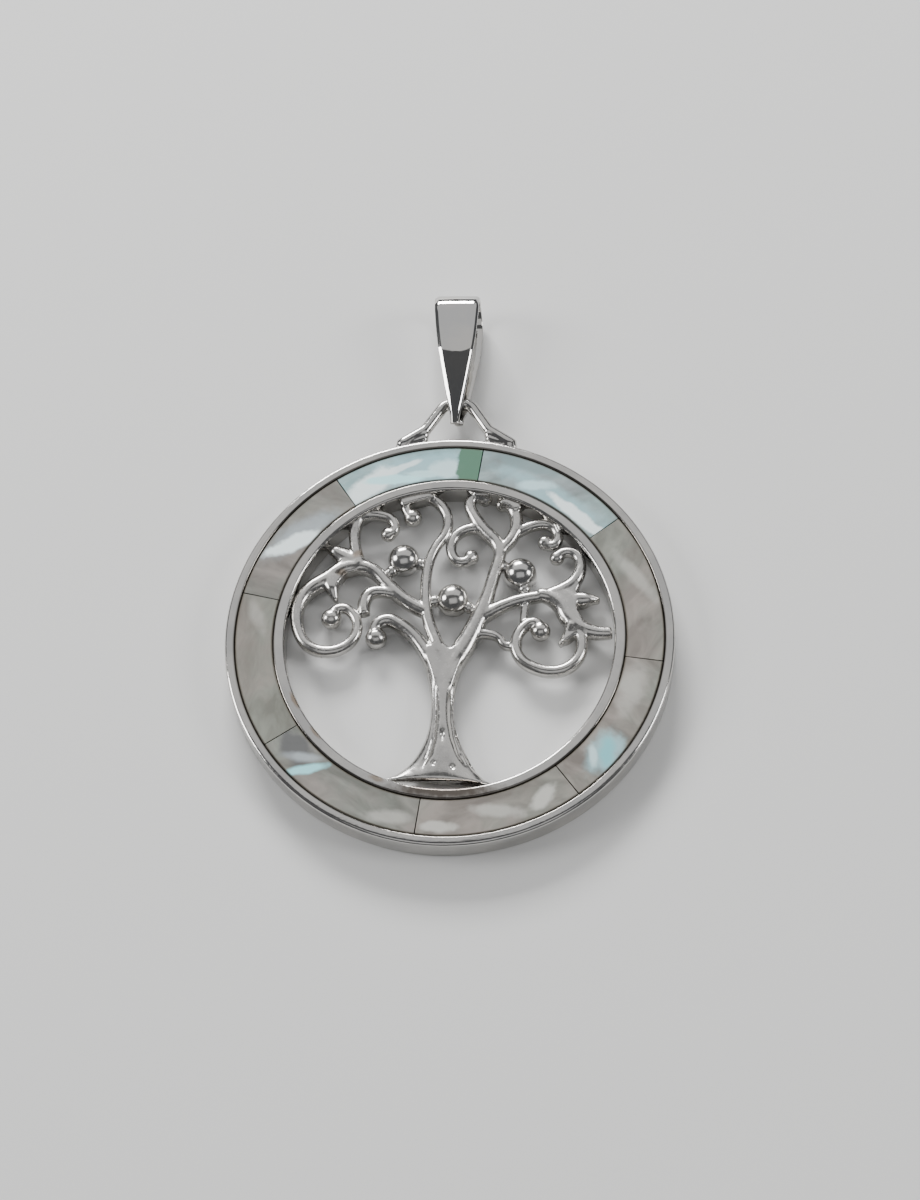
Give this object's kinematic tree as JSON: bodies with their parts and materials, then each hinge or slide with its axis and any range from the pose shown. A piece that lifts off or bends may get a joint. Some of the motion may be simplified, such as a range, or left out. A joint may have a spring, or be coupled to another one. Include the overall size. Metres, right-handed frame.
{
  "type": "openwork pendant",
  "caption": "Round silver pendant: a ring inlaid with mother-of-pearl around an openwork scrolling tree with ball fruit, with a wire arch and a folded tapered bail.",
  "frame": {"origin": "underside of the lying pendant, at the centre of its outline", "axes": "+Z out of the inlaid face, +Y from the ring towards the hanging bail, +X to the right as the face is looked at with the bail up"},
  "size_m": [0.036, 0.0496, 0.0042],
  "materials": {
    "silver": "polished",
    "mother_of_pearl": "gloss"
  },
  "bodies": {
    "pendant": {"frame": "silver", "pearl_top_right": "mother_of_pearl", "pearl_right_upper": "mother_of_pearl", "pearl_right_lower": "mother_of_pearl", "pearl_bottom_right": "mother_of_pearl", "pearl_bottom_left": "mother_of_pearl", "pearl_left_lower": "mother_of_pearl", "pearl_left_upper": "mother_of_pearl", "pearl_top_left": "mother_of_pearl"},
    "bail": {"bail": "silver"}
  },
  "joints": [
    {"name": "bail_swing", "type": "hinge", "parent": "pendant", "child": "bail", "pos_m": [0, 0.01479, 0.0017], "axis": [1, 0, 0], "range_deg": [-130, 140]}
  ]
}
